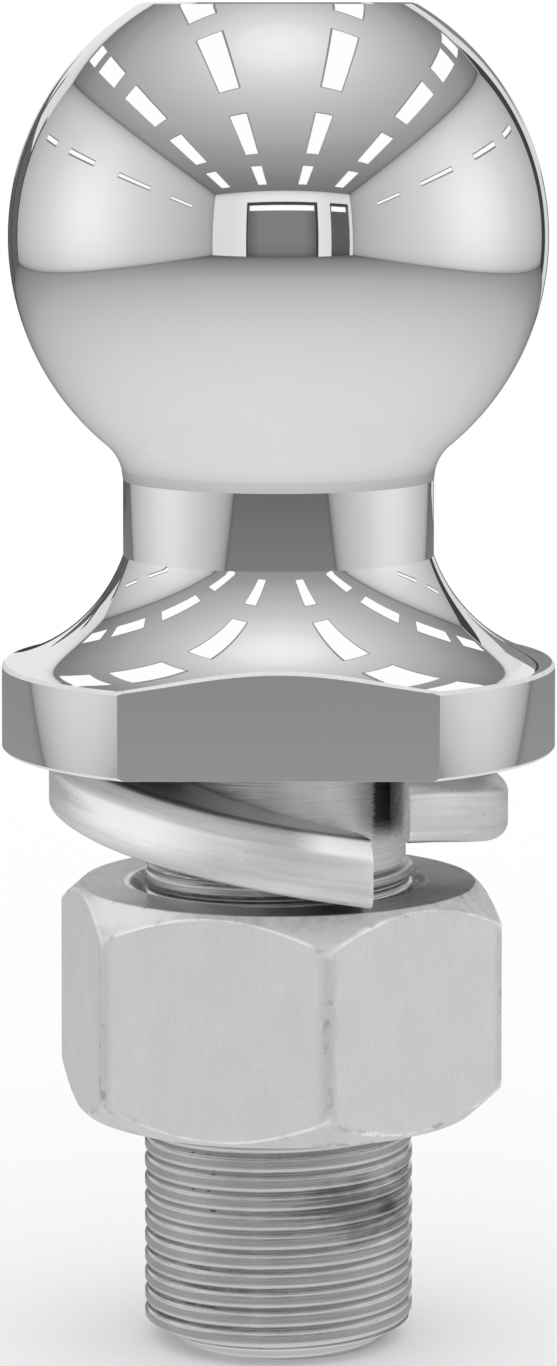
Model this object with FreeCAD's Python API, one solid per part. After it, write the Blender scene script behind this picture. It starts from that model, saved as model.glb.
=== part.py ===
import FreeCAD, Part
import math
import os

# A tow ball with its fixing pieces: a one-piece forged and turned ball stud, a split lock washer and a hex nut.
# Millimetres. The origin is the centre of the flange's underside, which seats on the drawbar.
# +Z runs up the axis towards the ball, -Y is the front, and azimuths turn from the front towards +X.

# Ball and neck
ball_diameter = 50.8
ball_height = 48.2
top_flat_diameter = 25.5
top_flat_edge_bevel = 0.3
neck_diameter = 29.3
under_ball_radius = 4.5

# Flange: the flare starts at a crease on the neck and ends at the rim
crease_height = 18.2
flare_start_deg = 22.0
flange_diameter = 52.2
rim_height = 8.1
wrench_flat_depth = 4.45
flange_edge_bevel = 0.3

# Shank: a plain part of the rolled thread's blank, then the thread's crests, with a deep chamfer at the end
thread_diameter = 25.4
thread_rise_over_blank = 0.65
blank_length = 10.6
thread_start_length = 0.45
shank_length = 56.3
shank_end_chamfer_depth = 3.5
shank_end_chamfer_length = 2.1

# Clearances between the pieces
seat_clearance = 0.05
washer_bore_clearance = 0.25
nut_bore_clearance = 0.05

# Lock washer: a flat coil against the flange whose lower end springs down to the nut
washer_width = 8.75
washer_thickness = 6.3
washer_free_height = 12.7
washer_outer_edge_bevel = 1.5
washer_inner_edge_bevel = 0.35
washer_bend_azimuth = 278.0
washer_bend_softness = 0.2
washer_side_sag = 2.2
washer_sag_centre_azimuth = 95.0
washer_sag_span = 140.0
gap_azimuth = 8.7
gap_offset = 7.3
gap_width = 3.6
spine_step_deg = 7.5

# Hex nut
nut_wall = 6.35
nut_height = 21.4
nut_azimuth = 12.0
nut_face_margin = 0.45
nut_chamfer_deg = 42.0
nut_corner_radius = 0.6
countersink_width = 1.4
countersink_deg = 45.0

UP = FreeCAD.Vector(0, 0, 1)
CENTRE = FreeCAD.Vector(0, 0, 0)

across_flats = flange_diameter - 2 * wrench_flat_depth
blank_diameter = thread_diameter - 2 * thread_rise_over_blank
shank_end_diameter = thread_diameter - 2 * shank_end_chamfer_depth
washer_bore_diameter = thread_diameter + 2 * washer_bore_clearance
washer_outer_diameter = washer_bore_diameter + 2 * washer_width
nut_across_flats = thread_diameter + 2 * nut_wall
nut_face_diameter = nut_across_flats - 2 * nut_face_margin
nut_bore_diameter = thread_diameter + 2 * nut_bore_clearance
countersink_diameter = nut_bore_diameter + 2 * countersink_width
washer_top = -seat_clearance
nut_top = washer_top - washer_free_height - seat_clearance
nut_bottom = nut_top - nut_height


def section_point(radius, height):
    """A point of a profile in the XZ plane, which is turned round the Z axis."""
    return FreeCAD.Vector(radius, 0, height)


def polar(radius, azimuth_deg, height):
    """A point at an azimuth measured from the front, -Y, towards +X."""
    azimuth = math.radians(azimuth_deg)
    return FreeCAD.Vector(radius * math.sin(azimuth), -radius * math.cos(azimuth), height)


def arc_on(centre, radius, start_deg, end_deg):
    """A profile arc about a centre, between two angles measured from +X towards +Z."""
    def at(angle_deg):
        angle = math.radians(angle_deg)
        return centre + section_point(radius * math.cos(angle), radius * math.sin(angle))
    return Part.Arc(at(start_deg), at((start_deg + end_deg) / 2), at(end_deg)).toShape()


def turned(edges):
    """The solid of revolution of a closed profile."""
    face = Part.Face(Part.Wire(edges))
    return face.revolve(CENTRE, UP, 360)


def turned_polygon(points):
    """The solid of revolution of a closed profile with straight sides."""
    corners = [section_point(radius, height) for radius, height in points]
    return Part.Face(Part.makePolygon(corners + corners[:1])).revolve(CENTRE, UP, 360)


def ball_edges():
    """The ball from its top flat to the neck: sphere, then the concave radius under it."""
    ball_radius = ball_diameter / 2
    neck_radius = neck_diameter / 2
    flat_deg = math.degrees(math.acos(top_flat_diameter / ball_diameter))
    concave_r = neck_radius + under_ball_radius
    concave_depth = math.sqrt((ball_radius + under_ball_radius) ** 2 - concave_r ** 2)
    tangent_deg = -math.degrees(math.atan2(concave_depth, concave_r))
    centre = section_point(0, ball_height)
    concave_centre = section_point(concave_r, ball_height - concave_depth)
    sphere = arc_on(centre, ball_radius, flat_deg, tangent_deg)
    concave = arc_on(concave_centre, under_ball_radius, 180 + tangent_deg, 180)
    top = ball_height + ball_radius * math.sin(math.radians(flat_deg))
    flat = Part.LineSegment(section_point(0, top), section_point(top_flat_diameter / 2, top)).toShape()
    neck_end = section_point(neck_radius, ball_height - concave_depth)
    crease = section_point(neck_radius, crease_height)
    neck = Part.LineSegment(neck_end, crease).toShape()
    return [flat, sphere, concave, neck], top


def flare_edge():
    """The flare: an arc from the crease to the rim that leaves the crease at a set angle to the neck."""
    crease = section_point(neck_diameter / 2, crease_height)
    rim = section_point(flange_diameter / 2, rim_height)
    chord = rim - crease
    chord_deg = math.degrees(math.atan2(chord.x, -chord.z))
    half_turn = math.radians(chord_deg - flare_start_deg)
    radius = chord.Length / (2 * math.sin(half_turn))
    start = math.radians(flare_start_deg)
    centre = crease + section_point(radius * math.cos(start), radius * math.sin(start))
    middle_direction = (crease + rim) * 0.5 - centre
    middle = centre + middle_direction.normalize() * radius
    return Part.Arc(crease, middle, rim).toShape()


def ball_stud():
    """Ball, neck, flange and shank, turned as one, with two wrench flats milled on the flange."""
    edges, top = ball_edges()
    flange_radius = flange_diameter / 2
    thread_radius = thread_diameter / 2
    blank_radius = blank_diameter / 2
    outline = [
        section_point(flange_radius, rim_height),
        section_point(flange_radius, 0),
        section_point(blank_radius, 0),
        section_point(blank_radius, -blank_length),
        section_point(thread_radius, -blank_length - thread_start_length),
        section_point(thread_radius, shank_end_chamfer_length - shank_length),
        section_point(shank_end_diameter / 2, -shank_length),
        section_point(0, -shank_length),
        section_point(0, top),
    ]
    edges += [flare_edge()]
    edges += [Part.LineSegment(a, b).toShape() for a, b in zip(outline, outline[1:])]
    stud = turned(edges)
    for side in (1, -1):
        stud = stud.cut(flat_cutter(side))
    return bevelled(stud, top)


def flat_cutter(side):
    """The block that mills one wrench flat, at +Y or -Y, through the whole flange."""
    width = 2 * flange_diameter
    depth = flange_diameter
    corner = FreeCAD.Vector(-width / 2, across_flats / 2, -1)
    if side < 0:
        corner.y = -across_flats / 2 - depth
    return Part.makeBox(width, depth, crease_height + 1, corner)


def bevelled(stud, top):
    """Break the flange's outer edges and the edge of the ball's top flat."""
    beyond_neck = (neck_diameter + flange_diameter) / 4
    rim_edges = []
    for edge in stud.Edges:
        box = edge.BoundBox
        reach = max(math.hypot(v.X, v.Y) for v in edge.Vertexes)
        if box.ZMax < crease_height and box.ZMin > -seat_clearance and reach > beyond_neck:
            rim_edges.append(edge)
    stud = stud.makeChamfer(flange_edge_bevel, rim_edges)
    top_edges = [e for e in stud.Edges if e.BoundBox.ZMin > top - seat_clearance]
    return stud.makeChamfer(top_flat_edge_bevel, top_edges)


def washer_drop(azimuth):
    """How far the coil's top lies below the highest point of the washer, from the upper end round to the lower."""
    end_drop = washer_free_height - washer_thickness
    lower_end = 360 + gap_crossing(gap_offset - gap_width / 2, washer_bore_diameter)
    bend = max(0, azimuth - washer_bend_azimuth) / (lower_end - washer_bend_azimuth)
    bent = math.hypot(bend, washer_bend_softness) - washer_bend_softness
    bent_fully = math.hypot(1, washer_bend_softness) - washer_bend_softness
    from_centre = abs(azimuth - washer_sag_centre_azimuth) / washer_sag_span
    sag = washer_side_sag * math.cos(math.pi * min(from_centre, 0.5)) ** 2
    return end_drop * bent / bent_fully + sag


def gap_crossing(offset, diameter):
    """The azimuth at which a plane of the gap, at a distance from the axis, crosses a diameter."""
    return gap_azimuth + math.degrees(math.asin(2 * offset / diameter))


def washer_section(azimuth):
    """The section of the coil in the axial plane at an azimuth: a rectangle with bevelled corners."""
    inner = washer_bore_diameter / 2
    outer = washer_outer_diameter / 2
    top = washer_top - washer_drop(azimuth)
    bottom = top - washer_thickness
    corners = [
        (inner + washer_inner_edge_bevel, bottom),
        (outer - washer_outer_edge_bevel, bottom),
        (outer, bottom + washer_outer_edge_bevel),
        (outer, top - washer_outer_edge_bevel),
        (outer - washer_outer_edge_bevel, top),
        (inner + washer_inner_edge_bevel, top),
        (inner, top - washer_inner_edge_bevel),
        (inner, bottom + washer_inner_edge_bevel),
    ]
    points = [polar(radius, azimuth, height) for radius, height in corners]
    return Part.makePolygon(points + points[:1])


def washer_coil(start, end):
    """A length of the coil between two azimuths, swept with its section kept upright."""
    middle_r = (washer_bore_diameter + washer_outer_diameter) / 4
    steps = math.ceil((end - start) / spine_step_deg)
    azimuths = [start + (end - start) * i / steps for i in range(steps + 1)]
    points = [polar(middle_r, a, washer_top - washer_drop(a) - washer_thickness / 2) for a in azimuths]
    spine = Part.BSplineCurve()
    spine.interpolate(points)
    sweep = Part.BRepOffsetAPI.MakePipeShell(Part.Wire(spine.toShape()))
    sweep.setBiNormalMode(UP)
    sweep.add(washer_section(start), False, False)
    sweep.build()
    sweep.makeSolid()
    return sweep.shape()


def gap_side(offset, side):
    """A block on one side of a plane of the gap, at the front: side is 1 towards +X and -1 towards -X."""
    size = washer_outer_diameter
    near = offset if side > 0 else offset - size
    block = Part.makeBox(size, size, 2 * size, FreeCAD.Vector(near, -size, -size))
    block.rotate(CENTRE, UP, gap_azimuth)
    return block


def lock_washer():
    """A split spring washer, cut apart by one straight slot beside its axis."""
    back = 180.0
    margin = 10.0
    upper_plane = gap_offset + gap_width / 2
    lower_plane = gap_offset - gap_width / 2
    upper_half = washer_coil(gap_crossing(upper_plane, washer_outer_diameter) - margin, back)
    lower_half = washer_coil(back, 360 + gap_crossing(lower_plane, washer_bore_diameter) + margin)
    upper_half = upper_half.cut(gap_side(upper_plane, -1))
    lower_half = lower_half.cut(gap_side(lower_plane, 1))
    return upper_half.fuse(lower_half)


def hex_nut():
    """A hexagon nut with both faces chamfered, a plain bore and a countersink at each end."""
    corner_circle = nut_across_flats / 2 / math.cos(math.radians(30))
    corners = [polar(corner_circle, nut_azimuth + 60 * i, nut_bottom) for i in range(6)]
    prism = Part.Face(Part.makePolygon(corners + corners[:1])).extrude(UP * nut_height)
    uprights = [e for e in prism.Edges if e.BoundBox.ZLength > nut_height / 2]
    prism = prism.makeFillet(nut_corner_radius, uprights)
    beyond = corner_circle
    face_radius = nut_face_diameter / 2
    fall = (beyond - face_radius) * math.tan(math.radians(nut_chamfer_deg))
    envelope = turned_polygon([
        (0, nut_top),
        (face_radius, nut_top),
        (beyond, nut_top - fall),
        (beyond, nut_bottom + fall),
        (face_radius, nut_bottom),
        (0, nut_bottom),
    ])
    bore_radius = nut_bore_diameter / 2
    sink_radius = countersink_diameter / 2
    sink_depth = (sink_radius - bore_radius) / math.tan(math.radians(countersink_deg))
    hole = turned_polygon([
        (0, nut_top),
        (sink_radius, nut_top),
        (bore_radius, nut_top - sink_depth),
        (bore_radius, nut_bottom + sink_depth),
        (sink_radius, nut_bottom),
        (0, nut_bottom),
    ])
    return prism.common(envelope).cut(hole)


def write(name, shape):
    """Write one piece, and say whether it is a single sound solid."""
    solid = shape.Solids[0]
    print(name, len(shape.Solids), "solid", shape.isValid(), round(shape.Volume / 1000, 3), "cm3", shape.BoundBox)
    solid.exportStep(os.path.join("parts", name + ".step"))


os.makedirs("parts", exist_ok=True)
write("ball_stud", ball_stud())
write("lock_washer", lock_washer())
write("hex_nut", hex_nut())
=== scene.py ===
import math

import bmesh
import bpy
from mathutils import Matrix, Vector


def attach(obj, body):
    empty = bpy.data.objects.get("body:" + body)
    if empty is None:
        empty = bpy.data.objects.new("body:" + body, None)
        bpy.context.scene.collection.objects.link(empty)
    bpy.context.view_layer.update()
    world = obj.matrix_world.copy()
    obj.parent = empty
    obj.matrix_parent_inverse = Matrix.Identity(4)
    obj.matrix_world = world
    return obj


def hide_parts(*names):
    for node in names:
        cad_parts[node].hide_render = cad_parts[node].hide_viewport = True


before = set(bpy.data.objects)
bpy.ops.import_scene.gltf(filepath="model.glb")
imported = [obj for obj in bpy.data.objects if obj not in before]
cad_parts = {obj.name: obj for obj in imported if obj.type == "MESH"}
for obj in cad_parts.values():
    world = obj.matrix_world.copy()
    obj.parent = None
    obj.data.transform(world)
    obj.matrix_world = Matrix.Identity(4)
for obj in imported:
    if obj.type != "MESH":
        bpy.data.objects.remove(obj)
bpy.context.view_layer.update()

# Millimetres, with the CAD model's origin, axes and values. The flare's start, the cone under the ball
# and the small breaks and rounds of edges are this script's own.
MM = 0.001

# Ball stud
ball_radius = 25.4
ball_height = 48.2
top_flat_radius = 12.75
top_flat_bevel = 0.3
neck_radius = 14.65
under_ball_radius = 4.5
under_ball_break_deg = 14.0
under_ball_cone_end = 0.12
crease_height = 18.2
flare_start_deg = 19.5
flange_radius = 26.1
rim_height = 8.1
flat_distance = 21.65
flange_bevel = 0.3
arch_break = 0.3
arch_drop = 0.18
rim_corner_break = 0.2
joint_overlap = 0.3
blank_radius = 12.05
blank_length = 10.6
thread_radius = 12.7
thread_start_length = 0.45
thread_pitch = 25.4 / 14
shank_length = 56.3
shank_end_radius = 9.2
shank_end_chamfer = 2.1

# Lock washer
washer_top = -0.05
washer_bore_radius = 12.95
washer_outer_radius = 21.7
washer_thickness = 6.3
washer_free_height = 12.7
washer_corner_cut = 1.5
washer_cut_round = 0.45
washer_bore_round = 0.35
washer_end_round = 0.3
washer_bend_azimuth = 278.0
washer_bend_softness = 0.2
washer_side_sag = 2.2
washer_sag_centre_azimuth = 95.0
washer_sag_span = 140.0
gap_azimuth = 8.7
upper_end_offset = 9.1
lower_end_offset = 5.5

# Hex nut
nut_top = -12.8
nut_bottom = -34.2
nut_apothem = 19.05
nut_corner_radius = 0.6
nut_face_radius = 18.6
nut_azimuth = 12.0
nut_chamfer_deg = 42.0
nut_bore_radius = 12.75
countersink_radius = 14.15

# Camera: level with the ball's top flat, looking a little down, with the rest of the framing as shift
camera_distance = 460.0
camera_height = 70.17
camera_pitch_deg = 3.484
camera_shift = -0.28
focal_in_picture_heights = 3.587

# The room that the chrome mirrors, in units of the ceiling's height above the ball's centre
room_unit = 3000.0
room_half_width = 1.41
room_front = -2.52
room_back = 2.25
room_floor = -0.256
room_turn_deg = 1.8

# Steps round a full turn
stud_steps = 240
blank_steps = 160
thread_steps = 96
nut_steps = 720

# How near two places count as one, in millimetres
touch = 0.001

# The cool casts of the steels
cool_tint = (0.985, 0.99, 1.0, 1.0)
faint_tint = (0.99, 0.99, 1.0, 1.0)


def tone(level):
    """The linear value of a grey written from 0 to 255."""
    share = level / 255
    if share <= 0.04045:
        return share / 12.92
    return ((share + 0.055) / 1.055) ** 2.4


def grey(level):
    value = tone(level)
    return (value, value, value, 1.0)


class Wire:
    """A socket that adds Math nodes when it is used in arithmetic."""

    def __init__(self, finish, socket):
        self.finish = finish
        self.socket = socket

    def __add__(self, other):
        return self.finish.math("ADD", self, other)

    def __radd__(self, other):
        return self.finish.math("ADD", other, self)

    def __sub__(self, other):
        return self.finish.math("SUBTRACT", self, other)

    def __rsub__(self, other):
        return self.finish.math("SUBTRACT", other, self)

    def __mul__(self, other):
        return self.finish.math("MULTIPLY", self, other)

    def __rmul__(self, other):
        return self.finish.math("MULTIPLY", other, self)

    def __truediv__(self, other):
        return self.finish.math("DIVIDE", self, other)

    def __pow__(self, other):
        return self.finish.math("POWER", self, other)

    def size(self):
        return self.finish.math("ABSOLUTE", self)

    def squared_from(self, centre):
        """The square of how far the value is from a centre."""
        away = self - centre
        return away * away

    def within(self, low, high):
        """0 at low and beyond, 1 at high and beyond, straight between; low may be the greater."""
        return self.finish.math("MULTIPLY", self - low, 1 / (high - low), clamp=True)


class Finish:
    """A node tree being wired: add() makes every node but the output, which close() makes."""

    def __init__(self, tree):
        self.tree = tree
        tree.nodes.clear()

    def add(self, kind, inputs=None, stops=None, output=0, **settings):
        node = self.tree.nodes.new(kind)
        for name, value in settings.items():
            setattr(node, name, value)
        if stops:
            elements = node.color_ramp.elements
            elements[1].position, elements[1].color = stops[-1]
            elements[0].position, elements[0].color = stops[0]
            for place, colour in stops[1:-1]:
                elements.new(place).color = colour
        for name, value in (inputs or {}).items():
            if isinstance(value, Wire):
                self.tree.links.new(value.socket, node.inputs[name])
            else:
                node.inputs[name].default_value = value
        return Wire(self, node.outputs[output])

    def math(self, operation, *values, clamp=False):
        inputs = dict(enumerate(values))
        return self.add("ShaderNodeMath", inputs, operation=operation, use_clamp=clamp)

    def ramp(self, value, stops):
        """Greys between (place, level) stops."""
        colours = [(place, grey(level)) for place, level in stops]
        return self.add("ShaderNodeValToRGB", {0: value}, stops=colours)

    def numbers(self, value, stops):
        """Plain numbers between (place, number) stops."""
        colours = [(place, (number, number, number, 1.0)) for place, number in stops]
        return self.add("ShaderNodeValToRGB", {0: value}, stops=colours)

    def noise(self, vector, scale, detail=2.0, roughness=0.5):
        inputs = {"Vector": vector, "Scale": scale, "Detail": detail, "Roughness": roughness}
        return self.add("ShaderNodeTexNoise", inputs)

    def placed(self, move=(0, 0, 0), turn=(0, 0, 0), stretch=(1, 1, 1)):
        """Object coordinates, moved, turned and stretched."""
        coordinates = self.add("ShaderNodeTexCoord", output="Object")
        inputs = {"Vector": coordinates, "Location": move, "Rotation": turn, "Scale": stretch}
        return self.add("ShaderNodeMapping", inputs)

    def axes(self, vector):
        split = self.add("ShaderNodeSeparateXYZ", {0: vector})
        node = split.socket.node
        return [Wire(self, socket) for socket in node.outputs]

    def joined(self, x, y, z):
        return self.add("ShaderNodeCombineXYZ", {0: x, 1: y, 2: z})

    def attribute(self, name, output):
        return self.add("ShaderNodeAttribute", output=output, attribute_name=name)

    def bumped(self, height, strength, distance):
        inputs = {"Strength": strength, "Distance": distance, "Height": height}
        return self.add("ShaderNodeBump", inputs)

    def mix(self, factor, first, second, blend="MIX"):
        """A colour between two, or blended from them."""
        inputs = {"Factor": factor, 6: first, 7: second}
        return self.add("ShaderNodeMix", inputs, output=2, data_type="RGBA", blend_type=blend)

    def close(self, shader, kind="ShaderNodeOutputMaterial"):
        node = self.tree.nodes.new(kind)
        self.tree.links.new(shader.socket, node.inputs["Surface"])


def material(name):
    made = bpy.data.materials.new(name)
    made.use_nodes = True
    return made, Finish(made.node_tree)


def surface(finish, **inputs):
    """The Principled shader and the output, with sockets named with _ for a space."""
    sockets = {name.replace("_", " "): value for name, value in inputs.items()}
    finish.close(finish.add("ShaderNodeBsdfPrincipled", sockets))


def mirror_chrome():
    """Bright chrome plate, with the faintest smears."""
    made, finish = material("mirror_chrome")
    smear = finish.noise(finish.placed(), 60.0, 3.0)
    colour = finish.mix(smear, grey(252), grey(255))
    surface(finish, Base_Color=colour, Metallic=1.0, Roughness=0.012 + smear * 0.02)
    return made


def bright_edge():
    """The broken edges of the flange, bright but not buffed to a mirror."""
    made, finish = material("bright_edge")
    rub = finish.noise(finish.placed(), 500.0, 3.0)
    colour = finish.mix(rub, grey(232), grey(252))
    surface(finish, Base_Color=colour, Metallic=0.4, Roughness=0.42 + rub * 0.1)
    return made


def glowing_joint():
    """The face inside the stud, which glows with the mirrored floor's tone: a painted reflection for the
    ball above it.
    """
    made, finish = material("glowing_joint")
    x, y, z = finish.axes(finish.placed())
    aside = x.size() * (1 / MM / flange_radius)
    painted_floor_glow = finish.ramp(aside, [(0.0, 218), (0.4, 217), (1.0, 213)])
    surface(finish, Base_Color=grey(0), Roughness=1.0, Specular_IOR_Level=0.0,
            Emission_Color=painted_floor_glow, Emission_Strength=1.0)
    return made


def thread_steel():
    """The shank's bare steel: brushed crests, painted shade in the roots and on the crests, painted
    highlights on the flanks, a turned blank with painted shade, and a weathered stain.
    """
    made, finish = material("thread_steel")
    where = finish.placed()
    x, y, z = finish.axes(where)
    azimuth = finish.math("ARCTAN2", x, 0 - y)
    height = z * (1 / MM)
    blank = (height + blank_length + 0.2).within(-0.1, 0.1)

    # Share of the pitch, from root to root, and the root, its flanks with painted highlights and the crest
    # by it with painted shade
    down = (0 - height - blank_length) / thread_pitch + azimuth / math.tau - 0.25
    share = finish.math("FRACT", down)
    cloud = finish.noise(where, 260.0, 4.0)
    brushed = finish.noise(finish.joined(x * 150, y * 150, share * 14 + height * 0.5), 1.0, 4.0)
    uneven = finish.noise(finish.joined(x * 260, y * 260, share * 2 + height * 0.8), 1.0, 4.0, 0.6)
    root = finish.numbers(finish.math("FRACT", share + 0.15), [
        (0.0, 0.0), (0.04, 1.0), (0.19, 0.9), (0.24, 0.0), (1.0, 0.0)])
    upper_flank_highlight = share.within(0.07, 0.11) * share.within(0.22, 0.17)
    lower_flank_highlight = share.within(0.6, 0.7) * share.within(0.9, 0.86)
    crest_shade = share.within(0.17, 0.23) * share.within(0.68, 0.6)
    level = 0.72 + (cloud - 0.5) * 0.12 + (brushed - 0.5) * 0.3 + (uneven - 0.5) * 0.12
    # Painted highlights on both flanks and painted shade on the crest
    level = level + upper_flank_highlight * (0.1 + uneven * 0.4) + lower_flank_highlight * 0.1 - crest_shade * 0.08

    # The weathered stain at the right with its dark smudge, nicks, and painted shade in the roots, deeper
    # at the lower left
    stain_place = azimuth.squared_from(0.8) * 2.6 + height.squared_from(-41.8) * 0.07
    stain = (stain_place + (brushed - 0.5) * 2.6 + (cloud - 0.5) * 2.4).within(1.1, 0.1)
    smudge_place = azimuth.squared_from(0.95) * 45 + height.squared_from(-42.4) * 1.2
    smudge = (smudge_place + (uneven - 0.5) * 2.0).within(1.0, 0.2)
    stain = stain + smudge * 0.5
    lower_left = azimuth.within(0.1, -0.5) * height.within(-44.0, -47.0) * uneven.within(0.4, 0.6)
    nick_place = finish.joined(x * 900, y * 900, share * 3 + height * 0.8)
    nicks = finish.noise(nick_place, 1.0, 2.0).within(0.7, 0.74) * root.within(0.0, 0.5)
    # Painted shade in the thread's roots, deeper at the lower left
    dark = root * (0.3 + uneven * 0.35 + lower_left * 0.35)
    level = level * (1 - stain * (0.55 - lower_flank_highlight * 0.3)) * (1 - nicks * 0.6) * (1 - dark)

    # The blank: turned marks, painted shade at the left and towards both sides, lighter in front, and a
    # painted shadow band at the right, where the washer's slot is mirrored
    turned = finish.noise(finish.joined(x * 100, y * 100, height * 11), 1.0, 3.0)
    ragged = azimuth + (turned - 0.5) * 0.16
    above_washer = (height + (turned - 0.5) * 3).within(-8.0, -6.0)
    # A painted shadow band: the washer's slot mirrored in the blank
    slot_shadow_band = ragged.within(0.8, 0.84) * ragged.within(1.12, 1.06) * above_washer
    # Lighter in front
    lighter = ragged.within(-0.1, 0.1) * ragged.within(0.7, 0.5)
    left = ragged.within(0.1, -0.4)
    # Painted shade from the washer at the left and towards both sides
    shade = ragged.within(0.62, 0.78) * 0.2 * above_washer + ragged.within(-0.62, -0.9) * 0.3
    shade = shade + left * 0.1
    plain = 0.88 + lighter * 0.2 + (turned - 0.5) * (0.9 + left * 0.8 - lighter * 0.3) + (cloud - 0.5) * 0.1
    plain = plain * (1 - slot_shadow_band * 0.85) * (1 - shade)
    level = level + (plain - level) * blank

    colour = finish.mix(1.0, level, cool_tint, "MULTIPLY")
    rough = 0.22 + cloud * 0.08 + (brushed - 0.5) * 0.12
    marks = brushed * (1 - blank) + turned * blank
    normal = finish.bumped(marks, 0.3, 0.05 * MM)
    surface(finish, Base_Color=colour, Metallic=1 - blank * 0.6, Roughness=rough, Normal=normal)
    return made


def washer_steel():
    """Zinc-plated spring steel with faint rolling streaks along the bar and burnished edges."""
    made, finish = material("washer_steel")
    along, across, up = finish.axes(finish.attribute("bar", "Vector"))
    wear = finish.attribute("edge_wear", "Fac")
    streaks = finish.noise(finish.joined(along * 0.1, across * 1.3, up * 2.2), 1.0, 4.0, 0.55)
    bands = finish.noise(finish.joined(along * 0.06, across * 0.35, up * 0.35), 1.0, 2.0)
    grain = finish.noise(finish.joined(along * 3.0, across * 5.0, up * 5.0), 1.0, 3.0)
    lighter = (bands - 0.5) * 0.7 + (streaks - 0.5) * 0.3
    level = 0.86 + lighter + (grain - 0.5) * 0.07
    bright = wear.within(0.3, 0.9) * (grain * 0.5 + streaks).within(0.6, 0.85)
    nicks = finish.noise(finish.joined(along * 0.8, across * 1.4, up * 1.4), 1.0, 4.0).within(0.69, 0.74)

    # Painted shade on the top face under the flange, darkest along its rims; darker on the cut corner;
    # painted highlights on the cut corner near the lower end and at the front left; darker towards the
    # underside; and a dark patch by the slot
    top_face_shade = up.within(-0.3, -0.02)
    rim_shade = across.within(washer_bore_radius + 0.8, washer_bore_radius + 0.3)
    rim_shade = rim_shade + across.within(washer_outer_radius - 2.6, washer_outer_radius - 1.8)
    corner_cut = (across + up).within(washer_outer_radius - 1.8, washer_outer_radius - 1.55)
    end_bevel_highlight = along.within(137.5, 141.0) * corner_cut
    underside = up.within(2.0 - washer_thickness, 0.9 - washer_thickness)
    front_left_highlight = (along - 121).size().within(10, 3) * (up + 3).size().within(3, 1)
    dark_patch_place = along.squared_from(20) * 0.03 + up.squared_from(-0.6) * 0.9
    dark_patch = (dark_patch_place + (grain - 0.5) * 0.9 + (bands - 0.5) * 0.8).within(1.2, 0.3)

    # Painted highlights on the cut corner near the lower end and at the front left
    level = level + bright * 0.12 + end_bevel_highlight * 0.4 - corner_cut * 0.2 + front_left_highlight * 0.14
    # Painted shade on the top face, darkest along its rims
    level = level * (1 - nicks * 0.3) * (1 - top_face_shade * (0.36 + rim_shade * 0.34 + streaks * 0.15))
    level = level * (1 - underside * 0.14) * (1 - dark_patch * 0.3)
    level = finish.math("MINIMUM", level, 1.0)
    # Less metallic where the highlights are painted, so they stay bright
    buffed = (front_left_highlight + end_bevel_highlight).within(0.0, 1.0)
    colour = finish.mix(1.0, level, cool_tint, "MULTIPLY")
    rough = 0.3 - bright * 0.1 + (streaks - 0.5) * 0.15
    relief = streaks * 0.7 + grain * 0.3 + bands * 0.6
    normal = finish.bumped(relief, 0.25, 0.12 * MM)
    surface(finish, Base_Color=colour, Metallic=0.7 - buffed * 0.55, Roughness=rough, Normal=normal)
    return made


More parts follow.
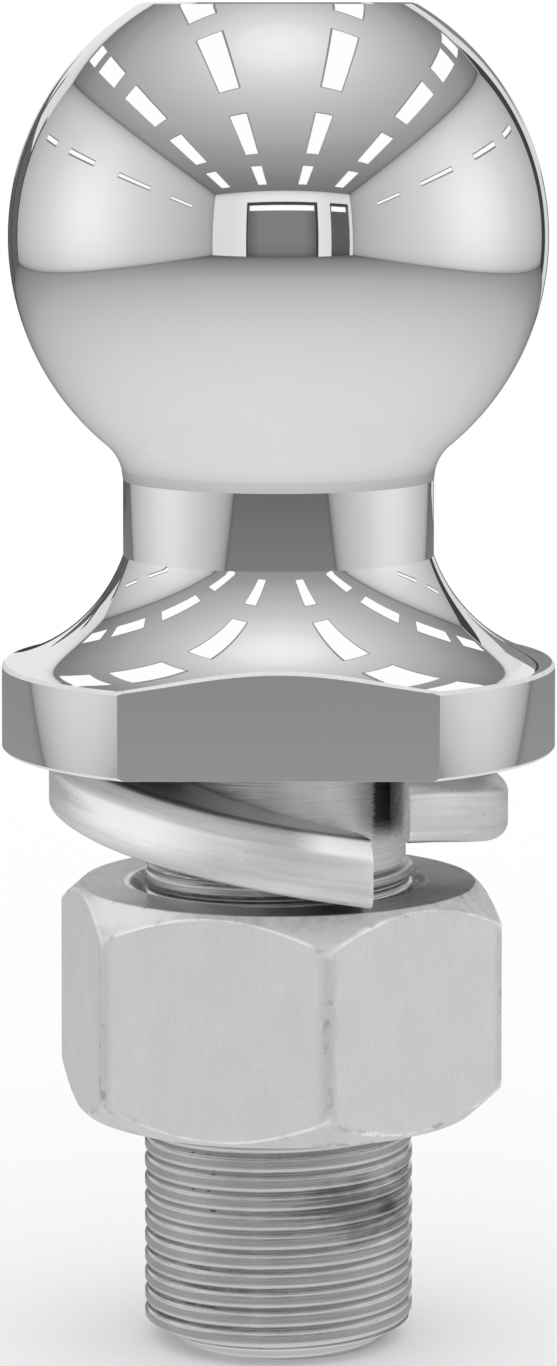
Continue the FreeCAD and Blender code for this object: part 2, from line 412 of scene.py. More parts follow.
def nut_steel():
    """Dull zinc plate with a fine grain, burnished chipped edges, and turned faces with a burred hole."""
    made, finish = material("nut_steel")
    where = finish.placed()
    x, y, z = finish.axes(where)
    radius = (x * x + y * y) ** 0.5 * (1 / MM)
    azimuth = finish.math("ARCTAN2", x, 0 - y)
    height = z * (1 / MM)
    wear = finish.attribute("edge_wear", "Fac")
    cloud = finish.noise(where, 220.0, 4.0)
    grain = finish.noise(where, 2600.0, 3.0)
    chips = finish.noise(where, 620.0, 5.0, 0.6)
    patches = finish.noise(where, 120.0, 2.0)
    drawn = finish.noise(finish.joined(azimuth * 40, 0.0, height * 0.25), 1.0, 3.0)

    # Edges: depth below the nearer end, the hexagon's corners, burnished arcs, a gouge and dark chips
    half = (nut_top - nut_bottom) / 2
    depth = half - (height - (nut_top + nut_bottom) / 2).size()
    beyond_chamfer = depth - (radius - nut_face_radius) * math.tan(math.radians(nut_chamfer_deg))
    corner = radius.within(21.45, 21.75) * beyond_chamfer.within(0.1, 0.9)
    chipped = (patches + (chips - 0.5) * 0.7).within(0.42, 0.6)
    ring_edge = (radius - nut_face_radius).size().within(0.7, 0.3) * depth.within(0.6, 0.2)
    worn = wear.within(0.6, 0.98) * chipped * (1 - corner) * (1 - ring_edge * 0.85)
    gouge = (azimuth - 0.38).size().within(0.16, 0.06) * (depth - 0.9).size().within(0.8, 0.3)
    worn = worn + gouge * wear.within(0.3, 0.7) * chips.within(0.42, 0.5)
    dark = wear.within(0.2, 0.8) * (chips + (patches - 0.5) * 0.5).within(0.42, 0.3)

    # Ends: the turned top face with painted shade under the washer, the torn and burred hole, and the
    # chamfer's cone with a painted highlight at the left corner
    face = (height - nut_top).within(-0.1, -0.02)
    rings = finish.noise(finish.joined(x * 90, y * 90, radius * 5), 1.0, 4.0)
    sink = radius.within(countersink_radius + 0.5, countersink_radius + 0.1)
    torn = sink * (height - nut_top).within(-1.8, -0.9)
    burr = torn * chips.within(0.45, 0.56)
    cone = (radius - nut_face_radius).within(0.05, 0.2) * (height - nut_top).within(-3.2, -0.3)
    cone = cone * beyond_chamfer.within(0.25, 0.1)
    streaks = finish.noise(finish.joined(azimuth * 14, 0.0, radius * 1.2), 1.0, 3.0)
    left_corner_highlight = (azimuth + 0.84).size().within(0.5, 0.1)

    level = 0.76 + (cloud - 0.5) * 0.1 + (grain - 0.5) * 0.1 + (drawn - 0.5) * 0.06
    # Painted shade on the top face under the washer, deepest at the front and right
    shaded = azimuth.within(-1.0, -0.2) * azimuth.within(1.9, 1.3)
    level = level - face * (shaded * 0.26 + 0.15) + face * ((rings - 0.5) * 0.2 + (cloud - 0.5) * 0.3)
    # Painted highlight on the chamfer's cone at the left corner
    level = level + cone * ((streaks - 0.5) * 0.5 + left_corner_highlight * 0.4) + torn * (chips - 0.35) * 0.9
    level = (level + worn * 0.24) * (1 - dark * 0.35) * (1 - burr * 0.55)
    level = level * (1 - corner * (0.02 + chips * 0.22))
    level = finish.math("MINIMUM", level, 1.0)
    colour = finish.mix(1.0, level, faint_tint, "MULTIPLY")
    rough = 0.48 - worn * 0.18 + (grain - 0.5) * 0.1 - face * 0.16
    # Less metallic at the left corner's painted highlight, so it stays bright
    metal = 0.5 + face * 0.4 - cone * left_corner_highlight * 0.4 - worn * 0.2
    relief = grain * 0.3 + chips * (wear * 1.2 + torn * 3 + corner) + cloud * 0.5
    normal = finish.bumped(relief, 0.3, 0.1 * MM)
    surface(finish, Base_Color=colour, Metallic=metal, Roughness=rough, Normal=normal)
    return made


# Lathe and mill work, in millimetres: an outline in the XZ plane is drawn from point to point and
# spun round the Z axis, then milled, sawn or pressed


def start_at(bm, radius, height):
    return bm.verts.new((radius, 0, height))


def line_to(bm, vert, radius, height, steps=1):
    """A straight cut to a radius and height, in equal steps."""
    begin = vert.co.copy()
    end = Vector((radius, 0, height))
    for step in range(steps):
        made = bmesh.ops.extrude_vert_indiv(bm, verts=[vert])
        vert = made["verts"][0]
        vert.co = begin.lerp(end, (step + 1) / steps)
    return vert


def arc_about(bm, vert, radius, height, degrees, steps):
    """An arc about a point of the XZ plane; degrees turn from +Z towards +X."""
    made = bmesh.ops.spin(
        bm, geom=[vert], cent=(radius, 0, height), axis=(0, 1, 0),
        angle=math.radians(degrees), steps=steps, use_merge=False)
    return [part for part in made["geom_last"] if isinstance(part, bmesh.types.BMVert)][0]


def spun(bm, steps):
    """The whole outline, spun once round the Z axis into a closed skin."""
    bmesh.ops.spin(
        bm, geom=bm.verts[:] + bm.edges[:], cent=(0, 0, 0), axis=(0, 0, 1),
        angle=math.tau, steps=steps, use_merge=True)
    bmesh.ops.remove_doubles(bm, verts=bm.verts[:], dist=0.0005)
    bmesh.ops.recalc_face_normals(bm, faces=bm.faces[:])


def cut_off(bm, point, direction, parts=None):
    """Saw off what lies beyond a plane, and close the cut."""
    parts = parts or bm.verts[:] + bm.edges[:] + bm.faces[:]
    made = bmesh.ops.bisect_plane(
        bm, geom=parts, dist=0.0001, plane_co=point, plane_no=direction, clear_outer=True)
    cut = [part for part in made["geom_cut"] if isinstance(part, bmesh.types.BMEdge)]
    closed = bmesh.ops.contextual_create(bm, geom=cut)
    return closed["faces"]


def rounded(bm, edges, width, segments):
    return bmesh.ops.bevel(
        bm, geom=edges, offset=width, offset_type="OFFSET", affect="EDGES",
        segments=segments, profile=0.5, material=-1, clamp_overlap=True)


def rounded_corners(bm, verts, width, segments):
    """Round the corners of a flat outline; says which corners the rounding leaves."""
    made = bmesh.ops.bevel(
        bm, geom=verts, offset=width, offset_type="OFFSET", affect="VERTICES",
        segments=segments, profile=0.5, material=-1)
    return made["verts"]


def creased(bm, degrees):
    """Smooth faces, with every edge that turns more than some degrees kept sharp."""
    limit = math.radians(degrees)
    for face in bm.faces:
        face.smooth = True
    for edge in bm.edges:
        edge.smooth = len(edge.link_faces) == 2 and edge.calc_face_angle(0) < limit


def mark_wear(bm, degrees, reach):
    """Keep at each vertex how near it is to a worn edge: 1 on the edge, 0 beyond a reach."""
    layer = bm.verts.layers.float.new("edge_wear")
    limit = math.radians(degrees)
    worn = set()
    for edge in bm.edges:
        if len(edge.link_faces) == 2 and edge.calc_face_angle(0) > limit:
            worn.update(edge.verts)
    for vert in worn:
        vert[layer] = 1.0
    while worn:
        nearer = set()
        for vert in worn:
            for edge in vert.link_edges:
                other = edge.other_vert(vert)
                left = vert[layer] - edge.calc_length() / reach
                if left > other[layer] + 0.001:
                    other[layer] = left
                    nearer.add(other)
        worn = nearer


def new_object(name, bm, finish):
    mesh = bpy.data.meshes.new(name)
    bm.to_mesh(mesh)
    bm.free()
    mesh.materials.append(finish)
    made = bpy.data.objects.new(name, mesh)
    bpy.context.scene.collection.objects.link(made)
    return made


def piece(bm, name, body, finish, node):
    """Turn the finished skin into an object in metres that rides on its body and stands for its node."""
    bmesh.ops.scale(bm, vec=(MM, MM, MM), verts=bm.verts[:])
    made = new_object(name, bm, finish)
    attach(made, body)
    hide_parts(node)
    return made


def with_corners(faces):
    """Faces with all their edges and vertices, for a cut that leaves the rest alone."""
    parts = set(faces)
    for face in faces:
        parts.update(face.edges)
        parts.update(face.verts)
    return list(parts)


def flange_faces(bm):
    return [face for face in bm.faces if face.calc_center_median().z < crease_height]


def mill_flats(bm):
    """Mill both wrench flats through the flange, and return them."""
    flats = []
    for side in (1, -1):
        flange = with_corners(flange_faces(bm))
        flats += cut_off(bm, (0, side * flat_distance, 0), (0, side, 0), flange)
    return flats


def broken_arch(bm, lowest):
    """Break the arched corner between the flare and each flat to a narrow slope; returns its faces."""
    for side in (1, -1):
        bmesh.ops.bisect_plane(
            bm, geom=with_corners(flange_faces(bm)), dist=0.0001,
            plane_co=(0, side * (flat_distance - arch_break), 0), plane_no=(0, side, 0))
    for vert in bm.verts:
        if abs(vert.co.y) > flat_distance - touch and vert.co.z < crease_height:
            vert.co.z = max(min(lowest, vert.co.z), vert.co.z - arch_drop)
    slope = []
    for face in flange_faces(bm):
        middle = face.calc_center_median()
        on_slope = flat_distance - arch_break < abs(middle.y) < flat_distance - touch
        if on_slope and lowest < middle.z:
            slope.append(face)
    return slope


def ball_and_flare(finish, edge_finish):
    """Everything above the rim: top flat, ball, neck and the flare down to the rim's edge."""
    bm = bmesh.new()

    # The ball, from its top flat to the fillet under it
    top = ball_height + math.sqrt(ball_radius ** 2 - top_flat_radius ** 2)
    flat_deg = math.degrees(math.acos(top_flat_radius / ball_radius))
    bevel_deg = math.degrees(top_flat_bevel / ball_radius)
    start_deg = flat_deg - bevel_deg
    concave_r = neck_radius + under_ball_radius
    concave_depth = math.sqrt((ball_radius + under_ball_radius) ** 2 - concave_r ** 2)
    tangent_deg = math.degrees(math.atan2(concave_depth, concave_r))
    at = start_at(bm, 0, top)
    at = line_to(bm, at, top_flat_radius - top_flat_bevel, top, 2)
    start = math.radians(start_deg)
    at = line_to(bm, at, ball_radius * math.cos(start), ball_height + ball_radius * math.sin(start))
    at = arc_about(bm, at, 0, ball_height, start_deg + tangent_deg, 110)

    # The fillet is broken off to a short cone before it meets the neck
    fillet_z = ball_height - concave_depth
    neck_top = fillet_z + under_ball_cone_end
    at = arc_about(bm, at, concave_r, fillet_z, under_ball_break_deg - tangent_deg, 34)
    at = line_to(bm, at, neck_radius, neck_top)
    at = line_to(bm, at, neck_radius, crease_height, 28)

    # The flare is one arc through the crease and the rim's edge, ending at the edge's bevel
    run = flange_radius - neck_radius
    fall = crease_height - rim_height
    half_turn = math.degrees(math.atan2(run, fall)) - flare_start_deg
    flare_radius = math.hypot(run, fall) / 2 / math.sin(math.radians(half_turn))
    lean = math.radians(flare_start_deg)
    flare_r = neck_radius + flare_radius * math.cos(lean)
    flare_z = crease_height + flare_radius * math.sin(lean)
    bevel_turn = math.degrees(flange_bevel / flare_radius)
    at = arc_about(bm, at, flare_r, flare_z, -(2 * half_turn - bevel_turn), 44)
    at = line_to(bm, at, flange_radius, rim_height - flange_bevel)
    line_to(bm, at, 0, rim_height - flange_bevel)
    spun(bm, stud_steps)

    seam = rim_height - flange_bevel + 0.01
    mill_flats(bm)
    broken = broken_arch(bm, seam)
    for face in bm.faces:
        if rim_height - flange_bevel < face.calc_center_median().z < rim_height and face.normal.z > 0.3:
            broken.append(face)
    for face in broken:
        face.material_index = 1
    creased(bm, 12)

    # The crease under the ball and the arch's inner edge stay sharp, whatever their angle
    for edge in bm.edges:
        under_ball = max(abs(vert.co.z - neck_top) for vert in edge.verts) < 0.01
        at_arch = max(abs(abs(vert.co.y) - flat_distance + arch_break) for vert in edge.verts) < touch
        if under_ball or at_arch:
            edge.smooth = False

    made = piece(bm, "ball_and_flare", "ball_stud", finish, "ball_stud")
    made.data.materials.append(edge_finish)
    return made


def flange_rim(finish, edge_finish, joint_glow):
    """The rim below the flare, with its wrench flats and its flat seat."""
    bm = bmesh.new()
    at = start_at(bm, 0, rim_height - flange_bevel)
    at = line_to(bm, at, flange_radius, rim_height - flange_bevel)
    at = line_to(bm, at, flange_radius, flange_bevel)
    at = line_to(bm, at, flange_radius - flange_bevel, 0)
    line_to(bm, at, 0, 0)
    spun(bm, stud_steps)

    seam = rim_height - flange_bevel - 0.01
    edges = [e for flat in mill_flats(bm) for e in flat.edges if min(v.co.z for v in e.verts) < seam]
    broken = rounded(bm, edges, rim_corner_break, 1)["faces"]
    creased(bm, 12)
    # The top face, hidden inside the stud, glows: a painted reflection of the floor for the ball
    for face in bm.faces:
        if face.calc_center_median().z > seam:
            face.material_index = 2
        elif -0.9 < face.normal.z < -0.3:
            broken.append(face)
    for face in broken:
        face.material_index = 1
    made = piece(bm, "flange_rim", "ball_stud", finish, "ball_stud")
    made.data.materials.append(edge_finish)
    made.data.materials.append(joint_glow)
    return made


# One turn of the thread's skin from root to root: share of the pitch, and depth below the crest
thread_form = [
    (0.00, 0.36), (0.04, 0.345), (0.08, 0.27), (0.115, 0.18), (0.15, 0.10), (0.185, 0.045), (0.22, 0.012),
    (0.25, 0.0), (0.28, 0.0), (0.55, 0.0), (0.58, 0.0), (0.625, 0.012), (0.67, 0.04), (0.715, 0.08),
    (0.76, 0.13), (0.805, 0.19), (0.845, 0.26), (0.885, 0.325), (0.93, 0.36), (1.0, 0.36),
]


def threaded_shank(finish):
    """The rolled thread, from the blank's lower end to its own deep end chamfer."""
    bm = bmesh.new()
    turns = 27
    begin = -blank_length + thread_pitch
    at = start_at(bm, thread_radius - thread_form[0][1], begin)
    for share, depth in thread_form[1:]:
        at = line_to(bm, at, thread_radius - depth, begin - share * thread_pitch)
    bmesh.ops.spin(
        bm, geom=bm.verts[:] + bm.edges[:], cent=(0, 0, 0), axis=(0, 0, -1),
        dvec=(0, 0, -thread_pitch / thread_steps), angle=math.tau, steps=thread_steps, use_merge=False)
    first_turn = bm.verts[:] + bm.edges[:] + bm.faces[:]
    for turn in range(1, turns):
        copy = bmesh.ops.duplicate(bm, geom=first_turn)["geom"]
        verts = [part for part in copy if isinstance(part, bmesh.types.BMVert)]
        bmesh.ops.translate(bm, vec=(0, 0, -thread_pitch * turn), verts=verts)
    bmesh.ops.remove_doubles(bm, verts=bm.verts[:], dist=0.004)
    cut_off(bm, (0, 0, joint_overlap - blank_length), (0, 0, 1))
    cut_off(bm, (0, 0, -shank_length), (0, 0, -1))

    # Turn the end chamfer and the thread's start, by bringing in what stands beyond them
    end_slope = (thread_radius - shank_end_radius) / shank_end_chamfer
    for vert in bm.verts:
        radius = math.hypot(vert.co.x, vert.co.y)
        from_end = vert.co.z + shank_length
        limit = min(thread_radius, shank_end_radius + end_slope * from_end)
        from_start = max(0, -blank_length - vert.co.z) / thread_start_length
        limit = min(limit, blank_radius + (thread_radius - blank_radius) * min(1, from_start))
        if radius > limit:
            vert.co.x *= limit / radius
            vert.co.y *= limit / radius
    bmesh.ops.recalc_face_normals(bm, faces=bm.faces[:])
    creased(bm, 40)
    return piece(bm, "threaded_shank", "ball_stud", finish, "ball_stud")


def shank_blank(finish):
    """The plain part of the shank, which reaches a little into the flange."""
    bm = bmesh.new()
    at = start_at(bm, 0, joint_overlap)
    at = line_to(bm, at, blank_radius, joint_overlap)
    at = line_to(bm, at, blank_radius, -blank_length, 12)
    line_to(bm, at, 0, -blank_length)
    spun(bm, blank_steps)
    creased(bm, 30)
    return piece(bm, "shank_blank", "ball_stud", finish, "ball_stud")


def washer_drop(azimuth):
    """How far the coil's top lies below its highest point."""
    lower_end = 360 + gap_azimuth + math.degrees(math.asin(lower_end_offset / washer_bore_radius))
    end_drop = washer_free_height - washer_thickness
    bend = max(0, azimuth - washer_bend_azimuth) / (lower_end - washer_bend_azimuth)
    bent = math.hypot(bend, washer_bend_softness) - washer_bend_softness
    bent_fully = math.hypot(1, washer_bend_softness) - washer_bend_softness
    from_centre = abs(azimuth - washer_sag_centre_azimuth) / washer_sag_span
    sag = washer_side_sag * math.cos(math.pi * min(from_centre, 0.5)) ** 2
    return end_drop * bent / bent_fully + sag


def split_washer(finish):
    """A straight bar with rounded edges, wrapped into the coil and sawn at both ends by the slot."""
    bm = bmesh.new()

    # The straight bar, a little longer at both ends than the slot leaves, in degrees along the coil
    first = 22.0
    last = 401.0
    steps = 200
    corners = [
        (washer_bore_radius, -washer_thickness), (washer_outer_radius, -washer_thickness),
        (washer_outer_radius, 0), (washer_bore_radius, 0),
    ]
    verts = [bm.verts.new((first, radius, height)) for radius, height in corners]
    bm.faces.new(verts)
    lower_inner, lower_outer, upper_outer, upper_inner = verts
    cut = rounded_corners(bm, [upper_outer], washer_corner_cut, 1)
    rounded_corners(bm, cut, washer_cut_round, 4)
    rounded_corners(bm, [lower_outer], washer_corner_cut, 7)
    rounded_corners(bm, [lower_inner, upper_inner], washer_bore_round, 3)
    bmesh.ops.spin(
        bm, geom=bm.faces[:] + bm.edges[:] + bm.verts[:], cent=(0, 0, 0), axis=(0, 0, 1), angle=0,
        dvec=((last - first) / steps, 0, 0), steps=steps, use_merge=False)
    upper = [f for f in bm.faces if f.calc_center_median().x < 100]
    lower = [f for f in bm.faces if f.calc_center_median().x > 300]

    # Wrapped round the axis; each vertex keeps its place on the bar for the rolling streaks
    bar = bm.verts.layers.float_vector.new("bar")
    for vert in bm.verts:
        azimuth, radius, height = vert.co
        turn = math.radians(azimuth)
        vert[bar] = (turn * washer_outer_radius, radius, height)
        drop = washer_drop(azimuth)
        vert.co = (radius * math.sin(turn), -radius * math.cos(turn), washer_top + height - drop)

    # Both ends sawn along the slot
    across = Vector((math.cos(math.radians(gap_azimuth)), math.sin(math.radians(gap_azimuth)), 0))
    ends = []
    for faces, offset, side in ((upper, upper_end_offset, -1), (lower, lower_end_offset, 1)):
        ends += cut_off(bm, across * offset, across * side, with_corners(faces))
    edges = set()
    for face in ends:
        edges.update(face.edges)
    rounded(bm, list(edges), washer_end_round, 2)
    bmesh.ops.recalc_face_normals(bm, faces=bm.faces[:])
    mark_wear(bm, 14, 0.9)
    creased(bm, 35)
    return piece(bm, "split_washer", "lock_washer", finish, "lock_washer")


def hex_radius(azimuth):
    """The distance from the axis to the hexagon's side at an azimuth, round its corners."""
    from_face = abs((azimuth - nut_azimuth) % 60 - 30)
    from_corner = 30 - from_face
    inner = nut_apothem - nut_corner_radius
    tangent = math.degrees(math.atan(inner * math.tan(math.radians(30)) / nut_apothem))
    if from_face <= tangent:
        return nut_apothem / math.cos(math.radians(from_face))
    centre = inner / math.cos(math.radians(30))
    turn = math.radians(from_corner)
    return centre * math.cos(turn) + math.sqrt(nut_corner_radius ** 2 - (centre * math.sin(turn)) ** 2)


def chamfered_nut(finish):
    """A turned blank with both chamfers and countersinks, pressed to the hexagon."""
    bm = bmesh.new()

    # The blank, turned wider than the hexagon's corners
    beyond = 30.0
    sink_depth = countersink_radius - nut_bore_radius
    middle = (nut_top + nut_bottom) / 2
    half = nut_top - middle
    at = first = start_at(bm, nut_bore_radius, nut_top - sink_depth)
    at = line_to(bm, at, countersink_radius, nut_top, 2)
    at = line_to(bm, at, nut_face_radius, nut_top, 3)
    at = line_to(bm, at, beyond, nut_top, 3)
    at = line_to(bm, at, beyond, nut_top - 0.5)
    at = line_to(bm, at, beyond, nut_bottom + 0.5, 18)
    at = line_to(bm, at, beyond, nut_bottom)
    at = line_to(bm, at, nut_face_radius, nut_bottom, 3)
    at = line_to(bm, at, countersink_radius, nut_bottom, 3)
    at = line_to(bm, at, nut_bore_radius, nut_bottom + sink_depth, 2)
    last = line_to(bm, at, nut_bore_radius, nut_top - sink_depth - 2, 6)
    bm.edges.new((last, first))
    spun(bm, nut_steps)
    bmesh.ops.rotate(
        bm, cent=(0, 0, 0), matrix=Matrix.Rotation(math.radians(nut_azimuth), 3, "Z"), verts=bm.verts[:])

    # Pressed in to the hexagon, with the ends falling along the chamfer
    slope = math.tan(math.radians(nut_chamfer_deg))
    for vert in bm.verts:
        radius = math.hypot(vert.co.x, vert.co.y)
        if radius < nut_face_radius + 0.01:
            continue
        azimuth = math.degrees(math.atan2(vert.co.x, -vert.co.y))
        side = hex_radius(azimuth)
        share = (radius - nut_face_radius) / (beyond - nut_face_radius)
        wanted = nut_face_radius + (side - nut_face_radius) * share
        fall = (wanted - nut_face_radius) * slope
        height = vert.co.z - middle
        vert.co.x *= wanted / radius
        vert.co.y *= wanted / radius
        vert.co.z = middle + height * (half - fall) / half
    bmesh.ops.recalc_face_normals(bm, faces=bm.faces[:])
    mark_wear(bm, 12, 0.6)
    creased(bm, 25)
    return piece(bm, "chamfered_nut", "hex_nut", finish, "hex_nut")


# The stage: a pale floor, white light all round, and the room that only mirrored rays see


def stage_object(name, bm, finish):
    made = new_object(name, bm, finish)
    return made


def even_glow(name, low, high):
    """An emission material with one grey at the height of the ball's centre and one at the ceiling."""
    return glow(name, lambda finish, x, y, z: finish.ramp(z, [(0.0, low), (1.0, high)]))


def glow(name, colour_of):
    """An emission material whose colour is a function of the room's coordinates."""
    made, finish = material(name)
    scale = 1 / (room_unit * MM)
    turn = -math.radians(room_turn_deg)
    where = finish.placed((0, 0, -ball_height / room_unit), (0, 0, turn), (scale, scale, scale))
    x, y, z = finish.axes(where)
    colour = colour_of(finish, x, y, z)
    finish.close(finish.add("ShaderNodeEmission", {"Color": colour, "Strength": 1.0}))
    return made


def panels(name, finish, rectangles):
    """Flat rectangles in room units, each from a low to a high corner with one equal coordinate."""
    bm = bmesh.new()
    for low, high in rectangles:
        low = Vector(low)
        high = Vector(high)
        size = high - low
        flat = min(range(3), key=lambda axis: abs(size[axis]))
        first, second = [axis for axis in range(3) if axis != flat]
        spread = Matrix.Identity(3)
        for row in range(3):
            for column in range(3):
                spread[row][column] = 0
        spread[first][0] = size[first]
        spread[second][1] = size[second]
        spread[flat][2] = 1
        matrix = Matrix.Translation((low + high) / 2) @ spread.to_4x4()
        bmesh.ops.create_grid(bm, x_segments=1, y_segments=1, size=0.5, matrix=matrix)
    turn = Matrix.Rotation(math.radians(room_turn_deg), 3, "Z")
    bmesh.ops.rotate(bm, cent=(0, 0, 0), matrix=turn, verts=bm.verts[:])
    unit = room_unit * MM
    bmesh.ops.scale(bm, vec=(unit, unit, unit), verts=bm.verts[:])
    bmesh.ops.translate(bm, vec=(0, 0, ball_height * MM), verts=bm.verts[:])
    made = stage_object(name, bm, finish)
    made.visible_camera = False
    made.visible_diffuse = False
    made.visible_transmission = False
    made.visible_volume_scatter = False
    made.visible_shadow = False
    return made


def falling_off(finish, reach, stops):
    """A grey that falls off with the reach, which runs to 3 units."""
    return finish.ramp(reach / 3, [(place / 3, level) for place, level in stops])


def ceiling_tone(finish, x, y, z):
    reach = (x * x + y * y) ** 0.5
    stops = [
        (0.0, 241), (0.2, 231), (0.28, 220), (0.54, 198), (0.71, 187), (0.87, 177), (1.0, 172),
        (1.2, 160), (1.3, 154), (1.48, 149), (1.7, 141), (1.9, 133), (2.1, 127), (2.4, 121), (2.8, 112),
    ]
    open_ceiling = falling_off(finish, reach, stops)
    from_wall = (room_half_width - x.size()).within(0.0, 0.09)
    shade = finish.numbers(from_wall, [(0.0, 0.55), (0.4, 0.86), (1.0, 1.0)])
    return finish.mix(1.0, open_ceiling, shade, "MULTIPLY")


def side_wall_tone(finish, x, y, z):
    up = z - 0.2
    reach = (y * y + up * up) ** 0.5
    stops = [
        (0.0, 241), (0.2, 236), (0.3, 232), (0.5, 223), (0.7, 212), (1.0, 203), (1.5, 190),
        (2.0, 178), (2.4, 166),
    ]
    wall = falling_off(finish, reach, stops)
    shade = finish.numbers(z + 0.3, [
        (0.044, 0.45), (0.052, 0.62), (0.065, 0.76), (0.08, 0.85), (0.12, 0.92), (0.15, 0.95),
        (0.2, 0.98), (0.3, 1.0),
    ])
    top = finish.numbers(1 - z, [(0.0, 0.5), (0.02, 0.7), (0.07, 0.86), (0.12, 0.95), (0.2, 1.0)])
    corner = finish.numbers(y - room_front, [(0.0, 0.6), (0.02, 0.75), (0.08, 0.92), (0.2, 1.0)])
    shaded = finish.mix(1.0, wall, shade, "MULTIPLY")
    shaded = finish.mix(1.0, shaded, corner, "MULTIPLY")
    return finish.mix(1.0, shaded, top, "MULTIPLY")


def end_wall_tone(finish, x, y, z):
    wall = finish.ramp(x.size(), [(0.3, 232), (0.64, 230), (0.8, 224), (1.0, 218)])
    top = finish.numbers(1 - z, [(0.0, 0.6), (0.03, 0.8), (0.08, 0.93), (0.15, 1.0)])
    return finish.mix(1.0, wall, top, "MULTIPLY")


def opening_tone(finish, x, y, z):
    side = ((x + 0.01).size() / 0.67).within(0.6, 1.0)
    inside = finish.ramp(side, [(0.0, 126), (0.5, 112), (1.0, 92)])
    low = finish.numbers(z + 0.3, [(0.04, 0.55), (0.12, 0.85), (0.3, 1.0)])
    return finish.mix(1.0, inside, low, "MULTIPLY")


def floor_tone(finish, x, y, z):
    reach = (x * x + y * y) ** 0.5
    stops = [
        (0.0, 218), (0.12, 217), (0.18, 214), (0.256, 211), (0.334, 207), (0.443, 200), (0.55, 194),
        (0.7, 186), (0.955, 174), (1.155, 161), (1.45, 147), (1.8, 136), (2.2, 120), (2.6, 98),
    ]
    open_floor = falling_off(finish, reach, stops)
    from_wall = room_half_width - x.size()
    by_wall = finish.numbers(from_wall, [(0.0, 0.62), (0.02, 0.8), (0.06, 0.94), (0.12, 1.0)])
    return finish.mix(1.0, open_floor, by_wall, "MULTIPLY")


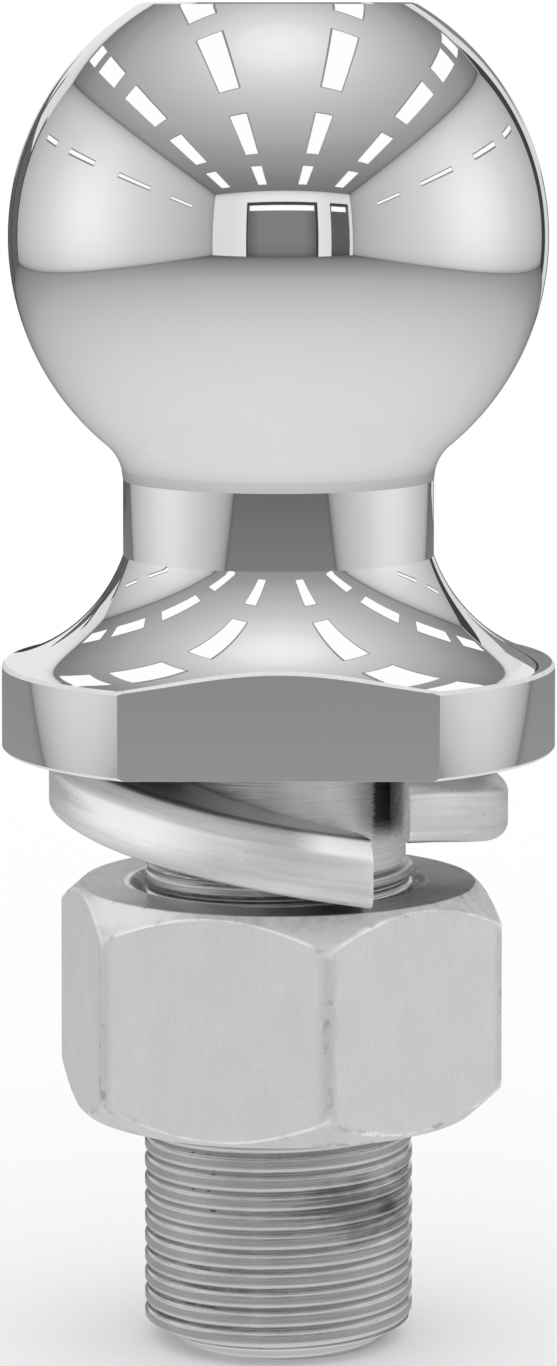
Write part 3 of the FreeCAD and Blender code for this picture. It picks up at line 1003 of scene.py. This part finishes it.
def mirrored_room():
    """Walls, ceiling and floor, with openings, panels and lights in layers just inside them."""
    wide = room_half_width
    low = room_floor
    layer = 0.005
    panels("room_ceiling", glow("room_ceiling", ceiling_tone), [
        ((-wide, room_front, 1), (wide, room_back, 1)),
    ])
    panels("room_floor", glow("room_floor", floor_tone), [
        ((-wide, room_front, low), (wide, room_back, low)),
    ])
    panels("room_side_walls", glow("room_side_walls", side_wall_tone), [
        ((-wide, room_front, low), (-wide, room_back, 1)),
        ((wide, room_front, low), (wide, room_back, 1)),
    ])
    panels("room_end_walls", glow("room_end_walls", end_wall_tone), [
        ((-wide, room_front, low), (wide, room_front, 1)),
        ((-wide, room_back, low), (wide, room_back, 1)),
    ])

    # Openings in the front wall, and the dark lines round them and on the back wall
    near = room_front + 2 * layer
    far = room_back - 2 * layer
    behind_far = far + layer
    panels("room_openings", glow("room_openings", opening_tone), [
        ((-0.68, near, low), (0.66, near, 0.77)), ((0.92, near, low), (1.33, near, 0.77)),
    ])
    near += layer
    panels("room_lintels", even_glow("room_shadow", 64, 64), [
        ((-0.68, near, 0.71), (0.66, near, 0.77)), ((0.92, near, 0.71), (1.33, near, 0.77)),
        ((-0.68, near, low), (-0.65, near, 0.77)), ((0.61, near, low), (0.66, near, 0.77)),
        ((-0.42, far, low), (0.04, far, 0.0)), ((-1.4, far, low), (-1.3, far, 0.62)),
        ((0.04, far, -0.012), (0.44, far, 0.0)), ((0.44, far, low), (0.56, far, 0.0)),
        ((-0.84, far, low), (-0.76, far, 0.55)),
        ((0.436, far, 0.13), (0.452, far, 0.62)), ((1.04, far, low), (1.405, far, 0.96)),
    ])
    panels("room_back_panels", even_glow("room_back_panels", 96, 96), [
        ((-1.3, behind_far, low), (-0.42, behind_far, 0.36)),
    ])
    panels("room_back_door", even_glow("room_back_door", 133, 138), [
        ((0.04, behind_far, low), (0.44, behind_far, 0.9)),
        ((0.44, behind_far - 0.001, 0.15), (0.68, behind_far - 0.001, 0.6)),
    ])
    panels("room_pale_panel", even_glow("room_pale_panel", 214, 222), [
        ((0.56, behind_far, low), (1.3, behind_far, 0.9)),
    ])

    # Lights: four rows in the ceiling, one along each side wall and two over the openings
    lights = []
    frames = []
    level = 1 - 2 * layer
    behind = 1 - layer
    for column, half in ((-1.02, 0.085), (-0.34, 0.07), (0.34, 0.07), (1.02, 0.085)):
        edge = half + 0.01
        for row in range(-2, 3):
            middle = -0.055 + 0.91 * row
            lights.append(((column - half, middle - 0.31, level), (column + half, middle + 0.31, level)))
            frames.append(((column - edge, middle - 0.32, behind), (column + edge, middle + 0.32, behind)))
    for side, centre in ((-1, -0.09), (1, 0.04)):
        wall = side * (wide - 2 * layer)
        behind = side * (wide - layer)
        for place in (-1.38, -0.46, 0.46, 1.38):
            middle = centre + place
            lights.append(((wall, middle - 0.26, 0.54), (wall, middle + 0.26, 0.57)))
            frames.append(((behind, middle - 0.265, 0.528), (behind, middle + 0.265, 0.582)))
    near += layer
    lights.append(((-0.62, near, 0.6), (0.59, near, 0.7)))
    lights.append(((0.94, near, 0.6), (1.26, near, 0.7)))
    panels("room_lights", even_glow("room_lights", 255, 255), lights)
    panels("room_light_frames", even_glow("room_light_frames", 128, 136), frames)


def floor_finish():
    made, finish = material("pale_floor")
    cloud = finish.noise(finish.placed(), 3.0)
    colour = finish.mix(cloud, grey(254), grey(255))
    surface(finish, Base_Color=colour, Roughness=0.9, Specular_IOR_Level=0.0)
    return made


def pale_floor():
    bm = bmesh.new()
    bmesh.ops.create_circle(bm, cap_ends=True, segments=96, radius=6.0)
    bmesh.ops.translate(bm, vec=(0, 0, -shank_length * MM), verts=bm.verts[:])
    made = stage_object("floor", bm, floor_finish())
    made.visible_glossy = False


def white_light():
    """White from every side at a strength of 1; the room's panels give mirrored rays their picture."""
    world = bpy.data.worlds.new("white_light")
    bpy.context.scene.world = world
    world.use_nodes = True
    finish = Finish(world.node_tree)
    light = finish.add("ShaderNodeBackground", {"Color": (1, 1, 1, 1), "Strength": 1.0})
    finish.close(light, "ShaderNodeOutputWorld")


def camera():
    data = bpy.data.cameras.new("camera")
    data.sensor_width = 36.0
    data.lens = focal_in_picture_heights * data.sensor_width
    data.shift_y = camera_shift
    made = bpy.data.objects.new("camera", data)
    made.location = (0, -camera_distance * MM, camera_height * MM)
    made.rotation_euler = (math.radians(90 - camera_pitch_deg), 0, 0)
    data.clip_start = 0.01
    data.clip_end = 50.0
    bpy.context.scene.collection.objects.link(made)
    bpy.context.scene.camera = made


# The stage first, then the part

camera()
white_light()
pale_floor()
mirrored_room()

chrome = mirror_chrome()
buffed = bright_edge()
upper = ball_and_flare(chrome, buffed)
upper.visible_glossy = False
flange_rim(chrome, buffed, glowing_joint())
shank_steel = thread_steel()
shank_blank(shank_steel)
threaded_shank(shank_steel)
split_washer(washer_steel())
chamfered_nut(nut_steel())

bpy.context.scene.view_settings.view_transform = "Standard"
